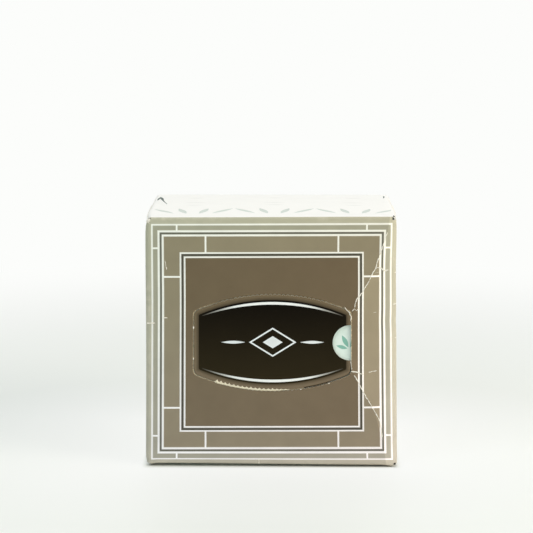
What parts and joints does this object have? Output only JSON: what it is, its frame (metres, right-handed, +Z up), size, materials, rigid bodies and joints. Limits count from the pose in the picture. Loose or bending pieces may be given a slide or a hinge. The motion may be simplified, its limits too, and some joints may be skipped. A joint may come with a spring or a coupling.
{
  "type": "tissue box",
  "caption": "Closed cube-like tissue carton of printed card, stood on its side, with a barrel-shaped tear-out panel, a half-round finger hole and the film-wrapped tissue pack inside.",
  "frame": {"origin": "middle of the base that the box stands on, at the level of the floor", "axes": "+Z up, -Y towards the tear-out face, +X to the right when facing that face"},
  "size_m": [0.112, 0.084, 0.112],
  "materials": {
    "printed_card": "satin lacquered print",
    "printed_film": "thin glossy film"
  },
  "bodies": {
    "root": {"carton": "printed_card", "tissue_pack": "printed_film"}
  },
  "joints": []
}
